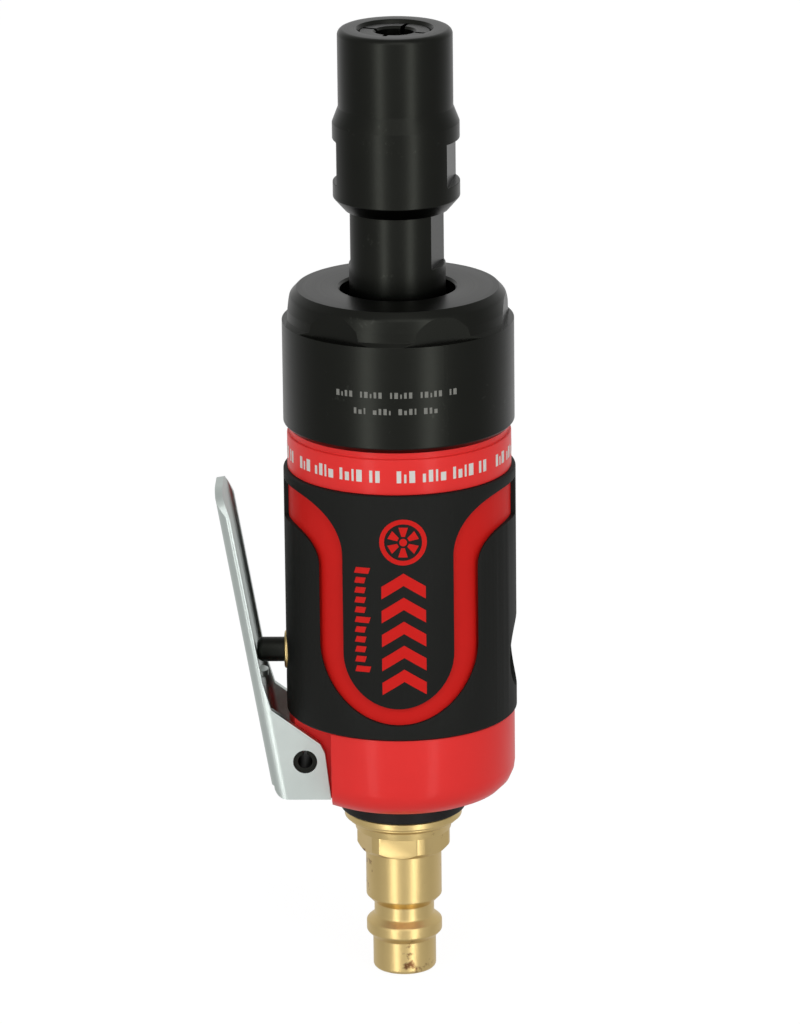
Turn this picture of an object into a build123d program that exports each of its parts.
"""Pneumatic straight die grinder with a side lever, built as a bench assembly.

Millimetres. +Z runs along the tool's axis towards the collet, the lever is on the -X side,
and the origin is on the axis where the air plug's nose chamfer meets its straight tip.
"""
from build123d import *
import os
from math import cos, radians, sin, sqrt

# ---------------------------------------------------------------- clearances
RUN = 0.05            # radial clearance of a turning or sliding fit
SEAT = 0.03           # radial clearance of a part that is seated and stays put

# ---------------------------------------------------------------- air plug and inlet
PLUG_NOSE_CHAMFER = 0.6
PLUG_TIP_R, PLUG_TIP_LEN = 5.0, 4.7
PLUG_RIDGE_R, PLUG_RIDGE_LEN = 6.0, 1.7
PLUG_NECK_R, PLUG_NECK_LEN = 4.75, 2.05
PLUG_BARREL_R, PLUG_BARREL_LEN = 6.0, 7.8
PLUG_RAMP_IN, PLUG_RAMP_NECK, PLUG_RAMP_OUT = 1.0, 1.05, 1.3
PLUG_HEX_AF, PLUG_HEX_CORNER_R, PLUG_HEX_LEN, PLUG_HEX_BEVEL = 13.4, 7.35, 3.3, 0.7
PLUG_FLARE_LEN, PLUG_FLARE_R, PLUG_FLANGE_R, PLUG_FLANGE_LEN = 2.1, 7.5, 9.3, 1.5
PLUG_THREAD_R, PLUG_THREAD_LEN, PLUG_BORE_R = 6.55, 8.8, 3.6
COLLAR_R, COLLAR_LEN = 9.9, 3.25
BUSHING_R, BUSHING_LEN, INLET_R = 8.2, 11.0, 4.0
WASHER_R, WASHER_LEN = 7.9, 1.0
INLET_RING_R, INLET_RING_PLACE, INLET_GROOVE_LEN = 0.45, 1.6, 1.08

# ---------------------------------------------------------------- housing and grip
BODY_R = 17.8
BASE_FLAT_R = BODY_R - 5.6
BASE_BAND_LEN = 13.45
CORE_R = BODY_R - 1.3
RING_R, RING_LEN = BODY_R - 0.3, 6.65
RING_GROOVE, RING_GROOVE_LEN = 0.45, 0.95
CAP_THREAD_R, CAP_THREAD_LEN = BODY_R - 1.6, 13.8
SLEEVE_R, SLEEVE_EDGE_R, SLEEVE_BEVEL = BODY_R + 0.35, 0.35, 0.3
BAND_FLOOR_R, BAND_R = BODY_R - 0.8, BODY_R - 0.35
BAND_ARM_OUT, BAND_ARM_IN = BODY_R - 5.5, BODY_R - 9.2
BAND_FOOT, BAND_FOOT_WIDTH = 2.5, 2.8
BAND_FLARE_OUT_R, BAND_FLARE_IN_R = 5.0, 8.7
BAND_FLARE_Z, BAND_FLARE_STEP, BAND_BRIDGE = 27.15, 2.3, 4.0
POCKET_X = BODY_R - 7.0

# ---------------------------------------------------------------- motor stack
FLOOR_ABOVE_VALVE = 5.9
MOTOR_R = BODY_R - 4.7
REAR_PLATE_LEN, LINER_LEN, FRONT_PLATE_LEN, FRONT_SPACER_LEN = 9.0, 23.0, 10.0, 3.0
LINER_BORE_R, LINER_OFFSET = MOTOR_R - 2.5, 1.1
ROTOR_R, ROTOR_GAP = LINER_BORE_R - 1.2, 0.1
VANES, VANE_THICK, VANE_ROOT_R, VANE_BACK = 4, 1.5, 4.3, 0.05
REAR_BEARING = dict(bore=3.5, outer=8.5, width=6.0, ball=1.2, pitch=5.75, balls=8)
FRONT_BEARING = dict(bore=5.0, outer=11.0, width=6.0, ball=1.5, pitch=8.0, balls=9)
REAR_BOSS_R, FRONT_SHAFT_SPACER_R, FRONT_RACE_PLACE = 4.2, 6.2, 3.0
LINER_PIN_R, LINER_PIN_PLACE, LINER_PIN_DEPTH = 1.0, MOTOR_R - 1.8, 2.0
NOSE_R = 7.5
CAP_LEN, CAP_R, CAP_BEVEL = 22.1, BODY_R + 0.25, 0.9
CAP_HOLE_R, CAP_HOLE_BEVEL = NOSE_R + 1.5, 0.4
CAP_FLAT_AF, CAP_FLAT_LEN, CAP_TOP_R, CAP_FLAT_TURN = 2 * CAP_R - 2.6, 5.1, CAP_R - 2.05, 25.3
CAP_STEP, CAP_STEP_LEN = 0.65, 0.6
EXHAUST_PLACE_R, EXHAUST_R, EXHAUST_TURN, EXHAUST_STOP = MOTOR_R - 0.5, 1.5, 50.0, 3.0
EXHAUST_HOLE_R, EXHAUST_HOLE_STEP, LINER_PORT_R, LINER_PORTS = 0.9, 30, 1.1, 4
GALLERY_IN_R, GALLERY_OUT_R, GALLERY_FLOOR, GALLERY_LEN, GALLERY_X = 10.2, BODY_R - 4.4, 2.0, 7.0, -5.0

# ---------------------------------------------------------------- spindle nose, collet and nut
NOSE_FLAT_AF, NOSE_TURN = 2 * NOSE_R - 2.0, 76.0
NOSE_FLAT_START, NOSE_FLAT_GAP, NOSE_SHOULDER, NOSE_END = 16.1, 0.2, 25.7, 41.0
NOSE_THREAD_R, SHAFT_THREAD_R, SHAFT_THREAD_LEN = NOSE_R - 0.6, 4.6, 10.0
TAPER_BIG_R, TAPER_SMALL_R, TAPER_LEN = 5.6, 4.5, 22.0
COLLET_BORE_R, COLLET_HEAD_R, COLLET_NOSE_R = 3.0, NOSE_R - 0.9, 5.5
COLLET_SLIT, COLLET_SLITS, COLLET_TURN = 0.7, 4, 22.0
NUT_START, NUT_LEN, NUT_R, NUT_TOP_R = 24.8, 28.4, NOSE_R + 2.35, NOSE_R + 1.4
NUT_CONE_LEN, NUT_SHOULDER_LEN, NUT_COUNTERBORE = 2.0, 2.45, 2.4
NUT_WIDE_LEN, NUT_FLAT_AF, NUT_FLAT_START, NUT_FLAT_LEN = 13.75, 2 * NUT_R - 2.5, 4.4, 6.8
NUT_TURN = 83.0
NUT_MOUTH_R, COLLET_SINK = 5.65, 0.45
COLLET_CONE_PLACE, COLLET_FOOT_GAP, COLLET_HEAD_GAP, COLLET_SLIT_FOOT = 5.75, 2.0, 0.8, 6.0

# ---------------------------------------------------------------- throttle valve
VALVE_HEIGHT = 22.75
STEM_R, STEM_PILOT_R, STEM_DOME, STEM_PILOT_END = 1.95, 1.2, 1.4, 1.0
SEAT_X, STEM_GAP = -3.0, 0.15
PORT_R, CHAMBER_R = 3.0, 4.4
VALVE_BUSH_R, VALVE_BUSH_NOSE_R, VALVE_BUSH_FACE = 4.0, 3.0, -BODY_R - 0.6
VALVE_BUSH_STEP, VALVE_BUSH_END = 1.9 - BODY_R, 5.3 - BODY_R
VALVE_SEAL_LEN, VALVE_HEAD_LEN, VALVE_HEAD_R = 1.2, 2.0, 4.1
SPRING_R, SPRING_WIRE_R, SPRING_TURNS = 2.9, 0.35, 6
AIR_PORT_X, AIR_PORT_R = 7.2 - BODY_R, 1.6
REGULATOR_START, REGULATOR_SHOULDER, REGULATOR_FACE = BODY_R - 10.8, BODY_R - 2.8, BODY_R - 0.9
REGULATOR_POCKET_R, REGULATOR_POCKET_END, REGULATOR_HUB_R = 3.4, BODY_R - 5.8, 3.8
REGULATOR_SLOT, REGULATOR_SLOT_DEPTH = 1.1, 1.2
REGULATOR_GROOVE_X, REGULATOR_GROOVE_LEN, REGULATOR_GROOVE_DEPTH = BODY_R - 4.8, 0.9, 0.7
REGULATOR_RING_R = 0.33
SNAP_RING_LEN, SNAP_RING_BITE, SNAP_RING_GAP = 0.6, 0.4, 2.2
DISH_R = 5.9

# ---------------------------------------------------------------- throttle lever
PIVOT_X, PIVOT_HEIGHT = 2.65 - BODY_R, 6.5
PIVOT_PIN_R, PIVOT_PIN_WALL, PIVOT_PIN_SLOT = 1.85, 0.75, 0.5
LEVER_TILT, LEVER_SHEET, LEVER_WIDTH = 9.74, 1.2, 15.0
TONGUE_HALF = LEVER_WIDTH / 2 - LEVER_SHEET - 0.2
LEVER_INNER, LEVER_TOP, LEVER_LIP = 4.87, 45.4, 0.6
LEVER_BEND_R, LEVER_FOOT, LEVER_END_R, LEVER_CORNER_R = 2.3, 6.3, 5.5, 2.0
LEVER_CHEEK = ((4.0, -LEVER_FOOT), (3.1, 1.4), (2.4, 2.9), (-5.2, 8.55))
LEVER_LIP_START, LEVER_LIP_END, LEVER_LIP_RUN = 14.0, 4.0, 1.0
TAB_R, TAB_REACH, TAB_LEN = 2.05, 1.15, 1.0
TAB_HEIGHT = VALVE_HEIGHT - PIVOT_HEIGHT - 4.2

# ---------------------------------------------------------------- heights worked out from the above
plug_ridge_z = PLUG_TIP_LEN + PLUG_RAMP_IN
plug_neck_z = plug_ridge_z + PLUG_RIDGE_LEN + PLUG_RAMP_NECK
plug_barrel_z = plug_neck_z + PLUG_NECK_LEN + PLUG_RAMP_OUT
plug_hex_z = plug_barrel_z + PLUG_BARREL_LEN
plug_flange_z = plug_hex_z + PLUG_HEX_LEN + PLUG_FLARE_LEN
collar_z = plug_flange_z + PLUG_FLANGE_LEN
base_z = collar_z + COLLAR_LEN
sleeve_z = base_z + BASE_BAND_LEN
valve_z = base_z + VALVE_HEIGHT
pivot_z = base_z + PIVOT_HEIGHT
floor_z = valve_z + FLOOR_ABOVE_VALVE
liner_z = floor_z + REAR_PLATE_LEN
front_plate_z = liner_z + LINER_LEN
spacer_z = front_plate_z + FRONT_PLATE_LEN
cap_seat_z = spacer_z + FRONT_SPACER_LEN
cap_z = cap_seat_z - CAP_THREAD_LEN
ring_z = cap_z - RING_LEN
cap_top_z = cap_z + CAP_LEN
front_race_z = front_plate_z + FRONT_RACE_PLACE
rear_race_z = floor_z
nose_z = front_race_z + FRONT_BEARING["width"]
taper_top_z = nose_z + NOSE_END
nut_z = nose_z + NUT_START
nut_top_z = nut_z + NUT_LEN
collet_top_z = nut_top_z - COLLET_SINK


# ---------------------------------------------------------------- shape helpers
def disc(radius, z0, z1):
    """Upright cylinder on the tool's axis between two heights."""
    return Pos(0, 0, z0) * Cylinder(radius, z1 - z0, align=(Align.CENTER, Align.CENTER, Align.MIN))


def ring(outer, inner, z0, z1):
    """Upright tube on the tool's axis."""
    return disc(outer, z0, z1) - disc(inner, z0 - 1, z1 + 1)


def turned(*points):
    """Solid turned about the tool's axis from an outline of radius and height pairs."""
    return revolve(make_face(Polyline(*[(r, 0, z) for r, z in points], close=True)), Axis.Z)


def cross(radius, x0, x1):
    """Cylinder along X at the height of the throttle valve."""
    lying = Plane(origin=(x0, 0, valve_z), x_dir=(0, 1, 0), z_dir=(1, 0, 0))
    return lying * Cylinder(radius, x1 - x0, align=(Align.CENTER, Align.CENTER, Align.MIN))


def cross_ring(outer, inner, x0, x1):
    """Tube along X at the height of the throttle valve."""
    return cross(outer, x0, x1) - cross(inner, x0 - 1, x1 + 1)


def upright(radius, x, y, z0, z1):
    """Upright cylinder away from the axis."""
    return Pos(x, y, 0) * disc(radius, z0, z1)


def flats(across, z0, z1, turn, count=2, reach=40.0):
    """Blocks outside parallel flats; turn is the first flat's direction, from -Y towards +X."""
    blocks = []
    for k in range(count):
        block = Pos(0, -across / 2 - reach / 2, (z0 + z1) / 2) * Box(2 * reach, reach, z1 - z0)
        blocks.append(Rot(0, 0, turn + 360.0 / count * k) * block)
    return blocks


def cross_oring(section, pitch, x):
    """O-ring about the throttle valve's axis."""
    return Plane(origin=(x, 0, valve_z), z_dir=(1, 0, 0)) * Torus(pitch, section)


# ---------------------------------------------------------------- air plug and inlet
def air_plug():
    hex_top = plug_hex_z + PLUG_HEX_LEN
    body = turned(
        (0, -PLUG_NOSE_CHAMFER), (PLUG_TIP_R - PLUG_NOSE_CHAMFER, -PLUG_NOSE_CHAMFER), (PLUG_TIP_R, 0),
        (PLUG_TIP_R, PLUG_TIP_LEN), (PLUG_RIDGE_R, plug_ridge_z),
        (PLUG_RIDGE_R, plug_ridge_z + PLUG_RIDGE_LEN), (PLUG_NECK_R, plug_neck_z),
        (PLUG_NECK_R, plug_neck_z + PLUG_NECK_LEN), (PLUG_BARREL_R, plug_barrel_z),
        (PLUG_BARREL_R, hex_top), (PLUG_FLARE_R, hex_top), (PLUG_FLANGE_R, plug_flange_z),
        (PLUG_FLANGE_R, collar_z), (PLUG_THREAD_R, collar_z), (PLUG_THREAD_R, collar_z + PLUG_THREAD_LEN),
        (0, collar_z + PLUG_THREAD_LEN))
    nut = Pos(0, 0, plug_hex_z) * extrude(RegularPolygon(PLUG_HEX_AF / sqrt(3), 6), PLUG_HEX_LEN)
    nut = nut & turned(
        (0, plug_hex_z), (PLUG_HEX_CORNER_R - PLUG_HEX_BEVEL, plug_hex_z),
        (PLUG_HEX_CORNER_R, plug_hex_z + PLUG_HEX_BEVEL), (PLUG_HEX_CORNER_R, hex_top), (0, hex_top))
    bore = disc(PLUG_BORE_R, -PLUG_NOSE_CHAMFER - 1, collar_z + PLUG_THREAD_LEN + 1)
    return body + nut - bore


def plug_washer():
    return ring(WASHER_R, PLUG_THREAD_R + RUN, collar_z, collar_z + WASHER_LEN)


def inlet_bushing():
    top = base_z + BUSHING_LEN
    groove_z = base_z + INLET_RING_PLACE
    groove_r = BUSHING_R - 2 * INLET_RING_R - SEAT
    body = disc(COLLAR_R, collar_z, base_z) + disc(BUSHING_R, base_z, top)
    body -= disc(PLUG_THREAD_R + SEAT, collar_z - 1, collar_z + PLUG_THREAD_LEN + 1)
    body -= disc(WASHER_R + RUN, collar_z - 1, collar_z + WASHER_LEN)
    body -= disc(INLET_R, collar_z, top + 1)
    return body - ring(BUSHING_R + 1, groove_r, groove_z, groove_z + INLET_GROOVE_LEN)


def inlet_oring():
    middle = base_z + INLET_RING_PLACE + INLET_GROOVE_LEN / 2
    return Pos(0, 0, middle) * Torus(BUSHING_R - INLET_RING_R, INLET_RING_R)


# ---------------------------------------------------------------- housing
def base_profile():
    """Outer form of the housing, turned: rounded base, grip core, ring and cap thread."""
    corner = BODY_R - BASE_FLAT_R
    groove_r, groove_z = RING_R - RING_GROOVE, cap_z - RING_GROOVE_LEN
    rest = [(BODY_R, base_z + corner), (BODY_R, sleeve_z), (CORE_R, sleeve_z), (CORE_R, ring_z),
            (RING_R, ring_z), (RING_R, groove_z), (groove_r, groove_z), (groove_r, cap_z),
            (CAP_THREAD_R, cap_z), (CAP_THREAD_R, cap_seat_z), (0, cap_seat_z), (0, base_z)]
    outline = [Line((0, base_z), (BASE_FLAT_R, base_z)), JernArc((BASE_FLAT_R, base_z), (1, 0), corner, 90),
               Polyline(*rest)]
    return revolve(Plane.XZ * make_face(outline), Axis.Z)


def exhaust_passages(radius):
    """The two upright exhaust passages beside the liner, down to the gallery."""
    turns = (EXHAUST_TURN, -EXHAUST_TURN)
    top = front_plate_z - EXHAUST_STOP
    return [upright(radius, EXHAUST_PLACE_R * cos(radians(t)), EXHAUST_PLACE_R * sin(radians(t)),
                    base_z + GALLERY_FLOOR + 1, top) for t in turns]


def gallery(inset):
    """C-shaped exhaust space around the inlet, open on the lever side."""
    z0 = base_z + GALLERY_FLOOR
    whole = ring(GALLERY_OUT_R - inset, GALLERY_IN_R + inset, z0, z0 + GALLERY_LEN - inset)
    keep = Pos(GALLERY_X + inset, 0, z0) * Box(60, 60, 30, align=(Align.MIN, Align.CENTER, Align.CENTER))
    return whole & keep


def exhaust_holes():
    """Row of holes in the base that lets the air out behind the silencer."""
    place = (GALLERY_IN_R + GALLERY_OUT_R) / 2
    top = base_z + GALLERY_FLOOR + 0.5
    return [upright(EXHAUST_HOLE_R, place * cos(radians(t)), place * sin(radians(t)), base_z - 1, top)
            for t in range(-90, 91, EXHAUST_HOLE_STEP)]


def motor_housing():
    body = base_profile()
    body -= disc(MOTOR_R + SEAT, floor_z, cap_seat_z + 1)
    body -= disc(REAR_BEARING["outer"] - 1.9, floor_z - 0.4, floor_z + 1)
    body -= disc(BUSHING_R + SEAT, base_z - 1, base_z + BUSHING_LEN)
    body -= disc(INLET_R, base_z, valve_z)
    body -= cross(CHAMBER_R, SEAT_X, BODY_R + 5)
    body -= cross(CHAMBER_R + SNAP_RING_BITE + SEAT, REGULATOR_SHOULDER, REGULATOR_SHOULDER + SNAP_RING_LEN)
    body -= cross(PORT_R, VALVE_BUSH_END - 1, SEAT_X + 1)
    body -= cross(VALVE_BUSH_R + SEAT, -BODY_R - 5, VALVE_BUSH_END)
    body -= upright(AIR_PORT_R, AIR_PORT_X, 0, valve_z, floor_z + 1)
    body -= gallery(0)
    for cut in exhaust_passages(EXHAUST_R) + exhaust_holes():
        body -= cut
    for side in (-1, 1):
        pocket = Box(30, 30, BASE_BAND_LEN + 1, align=(Align.MAX, Align.MIN, Align.MAX))
        y = TONGUE_HALF if side > 0 else -TONGUE_HALF - 30
        body -= Pos(-POCKET_X, y, sleeve_z) * pocket
    return body - pivot_rod(PIVOT_PIN_R, BODY_R)


def exhaust_silencer():
    return gallery(0.1)


# ---------------------------------------------------------------- grip
def band_outline(out, inner, flare_out, flare_in):
    """Front view of the curved stripe: a U whose two arms sweep out over the sides."""
    foot = sleeve_z + BAND_FOOT
    out_c, in_c = foot + out, foot + BAND_FOOT_WIDTH + inner
    flare_z = sleeve_z + BAND_FLARE_Z
    side = out + flare_out
    far = side + 4.0
    half = []
    half.append(Line((0, foot + BAND_FOOT_WIDTH), (0, foot)))
    half.append(JernArc((0, foot), (1, 0), out, 90))
    half.append(Line((out, out_c), (out, flare_z)))
    half.append(JernArc((out, flare_z), (0, 1), flare_out, -90))
    half.append(Line((side, flare_z + flare_out), (far, flare_z + flare_out)))
    in_top = flare_z + BAND_FLARE_STEP
    half.append(Line((far, flare_z + flare_out), (far, in_top + flare_in)))
    half.append(Line((far, in_top + flare_in), (inner + flare_in, in_top + flare_in)))
    half.append(JernArc((inner, in_top), (0, 1), flare_in, -90))
    half.append(Line((inner, in_top), (inner, in_c)))
    half.append(JernArc((0, foot + BAND_FOOT_WIDTH), (1, 0), inner, 90))
    return make_face(half)


def band_prism():
    """The stripe's outline run right through the tool, with a bridge of sleeve left at each side."""
    half = band_outline(BAND_ARM_OUT, BAND_ARM_IN, BAND_FLARE_OUT_R, BAND_FLARE_IN_R)
    face = half + mirror(half, Plane.YZ)
    through = extrude(Plane.XZ * face, 30, both=True)
    return through - Pos(0, 0, sleeve_z) * Box(4 * BODY_R, BAND_BRIDGE, 8 * BODY_R)


def grip_sleeve():
    tube = disc(SLEEVE_R, sleeve_z, ring_z)
    tube = fillet(tube.edges().sort_by(Axis.Z)[-1:], SLEEVE_EDGE_R)
    tube = chamfer(tube.edges().sort_by(Axis.Z)[:1], SLEEVE_BEVEL)
    tube -= disc(CORE_R + SEAT, sleeve_z - 1, ring_z + 1)
    tube -= band_prism() & ring(SLEEVE_R + 2, BAND_FLOOR_R, sleeve_z, ring_z)
    tube -= cross(VALVE_BUSH_NOSE_R + 0.35, -SLEEVE_R - 5, 0)
    tube -= cross(CHAMBER_R + 0.2, 0, SLEEVE_R + 5)
    return tube - cross(DISH_R, SLEEVE_R - 1.05, SLEEVE_R + 5)


def grip_band():
    return band_prism() & ring(BAND_R, BAND_FLOOR_R, sleeve_z, ring_z) - cross(DISH_R + 1, 0, SLEEVE_R + 5)


# ---------------------------------------------------------------- motor
def rear_end_plate():
    body = disc(MOTOR_R, floor_z, liner_z)
    body -= disc(REAR_BEARING["outer"] + SEAT, floor_z - 1, floor_z + REAR_BEARING["width"])
    body -= disc(REAR_BOSS_R + 0.4, floor_z, liner_z + 1)
    body -= upright(AIR_PORT_R, AIR_PORT_X, 0, floor_z - 1, liner_z + 1)
    return body - upright(LINER_PIN_R + SEAT, 0, LINER_PIN_PLACE, liner_z - LINER_PIN_DEPTH, liner_z + 1)


def cylinder_liner():
    body = disc(MOTOR_R, liner_z, front_plate_z)
    body -= upright(LINER_BORE_R, 0, -LINER_OFFSET, liner_z - 1, front_plate_z + 1)
    body -= upright(LINER_PIN_R + SEAT, 0, LINER_PIN_PLACE, liner_z - 1, front_plate_z + 1)
    for turn in (EXHAUST_TURN, -EXHAUST_TURN):
        for k in range(LINER_PORTS):
            z = liner_z + LINER_LEN * (k + 1) / (LINER_PORTS + 1)
            port = Plane(origin=(0, 0, z), z_dir=(cos(radians(turn)), sin(radians(turn)), 0))
            body -= port * Cylinder(LINER_PORT_R, MOTOR_R + 5, align=(Align.CENTER, Align.CENTER, Align.MIN))
    return body


def liner_pin():
    bottom, top = liner_z - LINER_PIN_DEPTH, front_plate_z + LINER_PIN_DEPTH
    return upright(LINER_PIN_R, 0, LINER_PIN_PLACE, bottom, top)


def front_end_plate():
    body = disc(MOTOR_R, front_plate_z, spacer_z)
    body -= disc(FRONT_BEARING["outer"] + SEAT, front_race_z, spacer_z + 1)
    body -= disc(FRONT_SHAFT_SPACER_R + 0.3, front_plate_z - 1, spacer_z)
    return body - upright(LINER_PIN_R + SEAT, 0, LINER_PIN_PLACE, front_plate_z - 1,
                          front_plate_z + LINER_PIN_DEPTH)


def front_spacer():
    return ring(MOTOR_R, FRONT_BEARING["outer"] + 0.1, spacer_z, cap_seat_z)


def front_seal():
    return ring(FRONT_BEARING["outer"] - SEAT, NOSE_R + 0.08, nose_z, cap_seat_z)


def race(spec, z, outer):
    """Inner or outer race with its groove cut for the balls."""
    middle = z + spec["width"] / 2
    groove = Pos(0, 0, middle) * Torus(spec["pitch"], spec["ball"] + 0.03)
    if outer:
        body = ring(spec["outer"], spec["pitch"] + 0.85 * spec["ball"], z, z + spec["width"])
    else:
        body = ring(spec["pitch"] - 0.85 * spec["ball"], spec["bore"], z, z + spec["width"])
    return body - groove


def ball_places(spec, z):
    """Centres of a bearing's balls."""
    step = 360.0 / spec["balls"]
    return [(spec["pitch"] * cos(radians(k * step)), spec["pitch"] * sin(radians(k * step)),
             z + spec["width"] / 2) for k in range(spec["balls"])]


def bearing_balls(spec, z):
    return Compound([Pos(*place) * Sphere(spec["ball"]) for place in ball_places(spec, z)])


def bearing_cage(spec, z):
    middle, half = z + spec["width"] / 2, spec["ball"] + 0.35
    wall = 0.45 * spec["ball"]
    body = ring(spec["pitch"] + wall, spec["pitch"] - wall, middle - half, middle + half)
    for k in range(spec["balls"]):
        turn = radians(360.0 / spec["balls"] * k)
        pocket = Plane(origin=(0, 0, middle), z_dir=(cos(turn), sin(turn), 0))
        body -= pocket * Cylinder(spec["ball"] + RUN, 2 * spec["outer"],
                                  align=(Align.CENTER, Align.CENTER, Align.MIN))
    return body


def vane_turn(k):
    return 45.0 + 360.0 / VANES * k


def rotor():
    bottom, top = liner_z + ROTOR_GAP, front_plate_z - ROTOR_GAP
    rear_seat = rear_race_z + REAR_BEARING["width"]
    body = disc(ROTOR_R, bottom, top)
    for k in range(VANES):
        slot = Pos(VANE_ROOT_R - RUN * 2, 0, 0) * Box(
            20, VANE_THICK + 2 * RUN, 60, align=(Align.MIN, Align.CENTER, Align.CENTER))
        body -= Pos(0, 0, (bottom + top) / 2) * Rot(0, 0, vane_turn(k)) * slot
    body += disc(REAR_BOSS_R, rear_seat, bottom)
    body += disc(REAR_BEARING["bore"], rear_race_z + 0.2, rear_seat)
    body += disc(FRONT_BEARING["bore"], top, nose_z)
    return body + disc(SHAFT_THREAD_R, nose_z, nose_z + SHAFT_THREAD_LEN)


def vane(k):
    blade = Pos(VANE_ROOT_R, 0, (liner_z + front_plate_z) / 2) * Box(
        ROTOR_R - VANE_BACK - VANE_ROOT_R, VANE_THICK, LINER_LEN - 3 * ROTOR_GAP,
        align=(Align.MIN, Align.CENTER, Align.CENTER))
    return Rot(0, 0, vane_turn(k)) * blade


def front_shaft_spacer():
    return ring(FRONT_SHAFT_SPACER_R, FRONT_BEARING["bore"] + SEAT, front_plate_z - ROTOR_GAP, front_race_z)


# ---------------------------------------------------------------- cap, spindle nose, collet and nut
def front_cap():
    band_top = cap_top_z - CAP_FLAT_LEN
    step_z = band_top + CAP_STEP_LEN
    outline = [(0, cap_z), (CAP_R - CAP_BEVEL, cap_z), (CAP_R, cap_z + CAP_BEVEL), (CAP_R, band_top),
               (CAP_R - CAP_STEP, step_z)]
    for turn in range(18, 91, 18):
        a = radians(turn)
        reach = (CAP_R - CAP_STEP - CAP_TOP_R) * cos(a)
        outline.append((CAP_TOP_R + reach, step_z + (cap_top_z - step_z) * sin(a)))
    outline.append((0, cap_top_z))
    body = turned(*outline)
    for block in flats(CAP_FLAT_AF, band_top, cap_top_z + 1, CAP_FLAT_TURN, 6):
        body -= block
    body -= disc(CAP_THREAD_R + SEAT, cap_z - 1, cap_seat_z)
    rim_r = CAP_HOLE_R + CAP_HOLE_BEVEL
    return body - turned(
        (0, cap_seat_z - 1), (CAP_HOLE_R, cap_seat_z - 1), (CAP_HOLE_R, cap_top_z - CAP_HOLE_BEVEL),
        (rim_r, cap_top_z), (rim_r, cap_top_z + 1), (0, cap_top_z + 1))


def taper_r(z):
    """Radius of the collet taper at a height."""
    return TAPER_BIG_R - (taper_top_z - z) * (TAPER_BIG_R - TAPER_SMALL_R) / TAPER_LEN


def collet_holder():
    root = FRONT_BEARING["pitch"] - 0.85 * FRONT_BEARING["ball"]
    body = turned((0, nose_z), (root, nose_z), (root, nose_z + 1), (NOSE_R, nose_z + 1),
                  (NOSE_R, nose_z + NOSE_SHOULDER), (NOSE_THREAD_R, nose_z + NOSE_SHOULDER),
                  (NOSE_THREAD_R, taper_top_z - 0.5), (NOSE_THREAD_R - 0.5, taper_top_z), (0, taper_top_z))
    for block in flats(NOSE_FLAT_AF, nose_z + NOSE_FLAT_START, nut_z - NOSE_FLAT_GAP, NOSE_TURN):
        body -= block
    bottom = taper_top_z - TAPER_LEN
    body -= turned((0, bottom), (TAPER_SMALL_R, bottom), (TAPER_BIG_R, taper_top_z),
                   (TAPER_BIG_R, taper_top_z + 1), (0, taper_top_z + 1))
    shank = nose_z + SHAFT_THREAD_LEN + 0.5
    body -= disc(COLLET_BORE_R + 0.4, shank - 0.1, bottom + 1)
    return body - disc(SHAFT_THREAD_R + SEAT, nose_z - 1, shank)


def collet_cone_z():
    """Height at which the collet's head starts to narrow towards its nose."""
    return collet_top_z - COLLET_CONE_PLACE


def collet():
    bottom, cone = taper_top_z - TAPER_LEN + COLLET_FOOT_GAP, collet_cone_z()
    head = taper_top_z + COLLET_HEAD_GAP
    body = turned(
        (0, bottom), (taper_r(bottom) - RUN, bottom), (taper_r(taper_top_z) - RUN, taper_top_z),
        (taper_r(taper_top_z) - RUN, head), (COLLET_HEAD_R, head), (COLLET_HEAD_R, cone),
        (COLLET_NOSE_R, cone + 2 * (COLLET_HEAD_R - COLLET_NOSE_R)), (COLLET_NOSE_R, collet_top_z - 0.2),
        (COLLET_NOSE_R - 0.2, collet_top_z), (0, collet_top_z))
    body -= turned((0, bottom - 1), (COLLET_BORE_R, bottom - 1), (COLLET_BORE_R, collet_top_z - 0.3),
                   (COLLET_BORE_R + 0.3, collet_top_z), (COLLET_BORE_R + 0.3, collet_top_z + 1),
                   (0, collet_top_z + 1))
    for k in range(COLLET_SLITS):
        turn = -COLLET_TURN + 360.0 / COLLET_SLITS * k
        slit = Box(COLLET_SLIT, 20, 60, align=(Align.CENTER, Align.MIN, Align.MIN))
        body -= Rot(0, 0, turn) * Pos(0, 0, bottom + COLLET_SLIT_FOOT) * slit
    return body


def collet_nut():
    wide_top, cone = nut_z + NUT_WIDE_LEN, collet_cone_z()
    body = turned(
        (0, nut_z), (NOSE_R + 0.6, nut_z), (NUT_R, nut_z + NUT_CONE_LEN), (NUT_R, wide_top),
        (NUT_TOP_R, wide_top + NUT_SHOULDER_LEN), (NUT_TOP_R, nut_top_z - 1.0),
        (NUT_TOP_R - 0.3, nut_top_z - 0.3), (NUT_TOP_R - 1.0, nut_top_z), (0, nut_top_z))
    flat_z = nut_z + NUT_FLAT_START
    for block in flats(NUT_FLAT_AF, flat_z, flat_z + NUT_FLAT_LEN, NUT_TURN):
        body -= block
    inside_z = nut_z + NUT_COUNTERBORE
    bore = NOSE_THREAD_R + RUN
    mouth = COLLET_NOSE_R + 0.06
    meet = cone + 0.02 - 2 * (bore - COLLET_HEAD_R - 0.06)
    return body - turned(
        (0, nut_z - 1), (NOSE_R + 0.1, nut_z - 1), (NOSE_R + 0.1, inside_z), (bore, inside_z), (bore, meet),
        (mouth, cone + 0.02 + 2 * (COLLET_HEAD_R - COLLET_NOSE_R)), (mouth, nut_top_z - 0.5),
        (NUT_MOUTH_R + 0.3, nut_top_z), (NUT_MOUTH_R + 0.3, nut_top_z + 1), (0, nut_top_z + 1))


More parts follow.
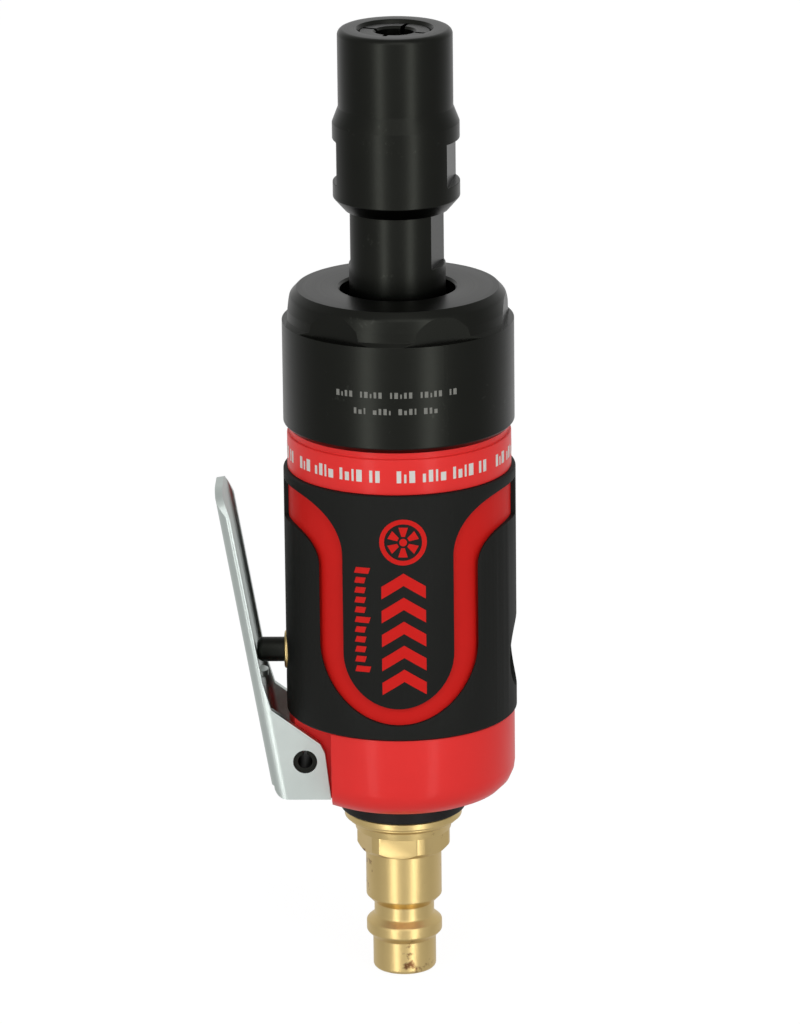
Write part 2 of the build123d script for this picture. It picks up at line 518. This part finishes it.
# ---------------------------------------------------------------- throttle valve
def valve_bushing():
    body = cross(VALVE_BUSH_NOSE_R, VALVE_BUSH_FACE, VALVE_BUSH_STEP + 1)
    body += cross(VALVE_BUSH_R, VALVE_BUSH_STEP, VALVE_BUSH_END)
    body -= cross(STEM_R + RUN, VALVE_BUSH_FACE - 1, VALVE_BUSH_END + 1)
    body -= cross(STEM_R + RUN + 1.25, VALVE_BUSH_END - 1.4, VALVE_BUSH_END + 1)
    groove_x = VALVE_BUSH_STEP + 0.5
    return body - cross_ring(VALVE_BUSH_R + 1, VALVE_BUSH_R - 0.8, groove_x, groove_x + 1.0)


def valve_bushing_oring():
    return cross_oring(0.39, VALVE_BUSH_R - 0.4, VALVE_BUSH_STEP + 1.0)


def stem_oring():
    return cross_oring(0.6, STEM_R + RUN + 0.6, VALVE_BUSH_END - 0.75)


def lever_face_x(height):
    """Where the lever's inner face stands at a height above its pivot, measured from the pivot."""
    tilt = radians(LEVER_TILT)
    return (-LEVER_INNER - height * sin(tilt)) / cos(tilt)


def valve_stem():
    tip = PIVOT_X + lever_face_x(valve_z - pivot_z) + STEM_GAP
    body = cross(STEM_R, tip, SEAT_X + 0.05)
    body = fillet(body.edges().sort_by(Axis.X)[:1], STEM_DOME)
    pilot_end = SEAT_X + 0.05 + VALVE_SEAL_LEN + VALVE_HEAD_LEN + STEM_PILOT_END
    return body + cross(STEM_PILOT_R, SEAT_X, pilot_end)


def valve_seal():
    start = SEAT_X + 0.05
    return cross_ring(VALVE_HEAD_R - 0.1, STEM_PILOT_R + SEAT, start, start + VALVE_SEAL_LEN)


def valve_head():
    start = SEAT_X + 0.05 + VALVE_SEAL_LEN
    return cross_ring(VALVE_HEAD_R, STEM_PILOT_R + SEAT, start, start + VALVE_HEAD_LEN)


def valve_spring():
    x0, x1 = SEAT_X + 0.05 + VALVE_SEAL_LEN + VALVE_HEAD_LEN, REGULATOR_POCKET_END
    length = x1 - x0 - 2 * SPRING_WIRE_R
    path = Helix(pitch=length / SPRING_TURNS, height=length, radius=SPRING_R)
    start = Plane(origin=path @ 0, z_dir=path % 0)
    coil = sweep(start * Circle(SPRING_WIRE_R), path=path)
    lying = Plane(origin=(x0 + SPRING_WIRE_R, 0, valve_z), x_dir=(0, 1, 0), z_dir=(1, 0, 0))
    return lying * coil


def regulator():
    body = cross(CHAMBER_R - RUN, REGULATOR_START, REGULATOR_SHOULDER)
    body += cross(REGULATOR_HUB_R, REGULATOR_SHOULDER - 1, REGULATOR_FACE)
    body = chamfer(body.edges().sort_by(Axis.X)[-1:], 0.3)
    body -= cross(REGULATOR_POCKET_R, REGULATOR_START - 1, REGULATOR_POCKET_END)
    body -= cross_ring(CHAMBER_R + 1, CHAMBER_R - RUN - REGULATOR_GROOVE_DEPTH, REGULATOR_GROOVE_X,
                       REGULATOR_GROOVE_X + REGULATOR_GROOVE_LEN)
    slot = Box(REGULATOR_SLOT_DEPTH * 2, REGULATOR_SLOT, 20)
    return body - Pos(REGULATOR_FACE, 0, valve_z) * Rot(45, 0, 0) * slot


def regulator_oring():
    pitch = CHAMBER_R - RUN - REGULATOR_GROOVE_DEPTH / 2
    return cross_oring(REGULATOR_RING_R, pitch, REGULATOR_GROOVE_X + REGULATOR_GROOVE_LEN / 2)


def regulator_ring():
    body = cross_ring(CHAMBER_R + SNAP_RING_BITE, REGULATOR_HUB_R + RUN, REGULATOR_SHOULDER,
                      REGULATOR_SHOULDER + SNAP_RING_LEN)
    return body - Pos(REGULATOR_SHOULDER, 0, valve_z + 5) * Box(4, SNAP_RING_GAP, 10)


# ---------------------------------------------------------------- throttle lever
def pivot_rod(radius, half):
    """Rod along Y through the lever's pivot."""
    lying = Plane(origin=(PIVOT_X, half, pivot_z), z_dir=(0, -1, 0))
    return lying * Cylinder(radius, 2 * half, align=(Align.CENTER, Align.CENTER, Align.MIN))


def lever_pin():
    half = LEVER_WIDTH / 2 - 0.2
    slot = Pos(PIVOT_X, 0, pivot_z + PIVOT_PIN_R) * Box(PIVOT_PIN_SLOT, 2 * half + 2, PIVOT_PIN_R)
    return pivot_rod(PIVOT_PIN_R, half) - pivot_rod(PIVOT_PIN_R - PIVOT_PIN_WALL, half + 1) - slot


def along_lever(out, up):
    """Point in the lever's side view: out from its pivot towards the blade, up along the blade."""
    tilt = radians(LEVER_TILT)
    return (-out * cos(tilt) - up * sin(tilt), -out * sin(tilt) + up * cos(tilt))


def side_prism(points, half):
    """Side view outline, measured from the pivot, run across the lever."""
    face = make_face(Polyline(*[(PIVOT_X + x, 0, pivot_z + z) for x, z in points], close=True))
    return extrude(face, half, dir=(0, 1, 0), both=True)


def throttle_lever():
    outer, half = LEVER_INNER + LEVER_SHEET, LEVER_WIDTH / 2
    foot_x = lever_face_x(-LEVER_FOOT) - LEVER_SHEET / cos(radians(LEVER_TILT))
    lip = LEVER_INNER - LEVER_LIP
    outline = [(foot_x, -LEVER_FOOT), *LEVER_CHEEK]
    outline += [along_lever(lip, LEVER_LIP_START), along_lever(lip, LEVER_TOP - LEVER_LIP_END),
                along_lever(LEVER_INNER, LEVER_TOP - LEVER_LIP_RUN), along_lever(LEVER_INNER, LEVER_TOP),
                along_lever(outer, LEVER_TOP)]
    body = side_prism(outline, half)
    blade_edges = body.edges().filter_by(
        lambda e: e.length > 40 and abs(abs(e.center().Y) - half) < 0.01 and e.center().X < PIVOT_X - 8)
    outside = [e for e in blade_edges if e.center().X < min(b.center().X for b in blade_edges) + 0.3]
    body = fillet(outside, LEVER_BEND_R)
    hollow = [along_lever(LEVER_INNER, -LEVER_FOOT - 3), along_lever(LEVER_INNER, LEVER_TOP + 5),
              (20, LEVER_TOP), (20, -LEVER_FOOT - 3)]
    inside = side_prism(hollow, half - LEVER_SHEET)
    corners = [e for e in inside.edges() if e.length > 40 and e.center().X < PIVOT_X - 5
               and abs(abs(e.center().Y) - half + LEVER_SHEET) < 0.01]
    body -= fillet(corners, LEVER_BEND_R - LEVER_SHEET)
    tilt = Plane(origin=(PIVOT_X, 0, pivot_z), x_dir=(0, 1, 0),
                 z_dir=(cos(radians(LEVER_TILT)), 0, sin(radians(LEVER_TILT))))
    plan = Pos(0, (LEVER_TOP - 30) / 2) * RectangleRounded(LEVER_WIDTH, LEVER_TOP + 30, LEVER_END_R)
    body = body & (tilt * extrude(plan if tilt.y_dir.Z > 0 else Rot(0, 0, 180) * plan, 30, both=True))
    foot_z = pivot_z - LEVER_FOOT
    nook = Pos(PIVOT_X + foot_x, 0, foot_z) * Box(2 * LEVER_CORNER_R, LEVER_WIDTH + 2, 2 * LEVER_CORNER_R)
    round_x = PIVOT_X + foot_x + LEVER_CORNER_R + 0.1
    keep = Plane(origin=(round_x, half + 2, foot_z + LEVER_CORNER_R), z_dir=(0, -1, 0))
    keep = keep * Cylinder(LEVER_CORNER_R, LEVER_WIDTH + 4, align=(Align.CENTER, Align.CENTER, Align.MIN))
    body -= nook - keep
    tab_z, tab_x = pivot_z + TAB_HEIGHT, PIVOT_X + lever_face_x(TAB_HEIGHT)
    tab = Pos(tab_x - TAB_R + TAB_REACH, 0, 0) * disc(TAB_R, tab_z, tab_z + TAB_LEN)
    beyond = Box(9, 9, 9, align=(Align.MIN, Align.CENTER, Align.CENTER))
    body += tab & (Pos(tab_x - LEVER_SHEET / 2, 0, tab_z) * beyond)
    return body - pivot_rod(PIVOT_PIN_R + RUN, half + 1)


# ---------------------------------------------------------------- assembly
def assembly():
    """Every node of the tool by name."""
    nodes = {
        "air_plug": air_plug(),
        "plug_washer": plug_washer(),
        "inlet_bushing": inlet_bushing(),
        "inlet_oring": inlet_oring(),
        "motor_housing": motor_housing(),
        "exhaust_silencer": exhaust_silencer(),
        "grip_sleeve": grip_sleeve(),
        "grip_band": grip_band(),
        "rear_end_plate": rear_end_plate(),
        "cylinder_liner": cylinder_liner(),
        "liner_pin": liner_pin(),
        "front_end_plate": front_end_plate(),
        "front_spacer": front_spacer(),
        "front_seal": front_seal(),
        "rotor": rotor(),
        "front_shaft_spacer": front_shaft_spacer(),
        "front_cap": front_cap(),
        "collet_holder": collet_holder(),
        "collet": collet(),
        "collet_nut": collet_nut(),
        "valve_bushing": valve_bushing(),
        "valve_bushing_oring": valve_bushing_oring(),
        "stem_oring": stem_oring(),
        "valve_stem": valve_stem(),
        "valve_seal": valve_seal(),
        "valve_head": valve_head(),
        "valve_spring": valve_spring(),
        "regulator": regulator(),
        "regulator_oring": regulator_oring(),
        "regulator_ring": regulator_ring(),
        "lever_pin": lever_pin(),
        "throttle_lever": throttle_lever(),
    }
    for end, spec, z in (("rear", REAR_BEARING, rear_race_z), ("front", FRONT_BEARING, front_race_z)):
        nodes[end + "_bearing_outer_race"] = race(spec, z, outer=True)
        nodes[end + "_bearing_inner_race"] = race(spec, z, outer=False)
        nodes[end + "_bearing_balls"] = bearing_balls(spec, z)
        nodes[end + "_bearing_cage"] = bearing_cage(spec, z)
    for k in range(VANES):
        nodes[f"vane_{k + 1}"] = vane(k)
    return nodes


os.makedirs("parts", exist_ok=True)
for name, shape in assembly().items():
    export_step(shape, f"parts/{name}.step")
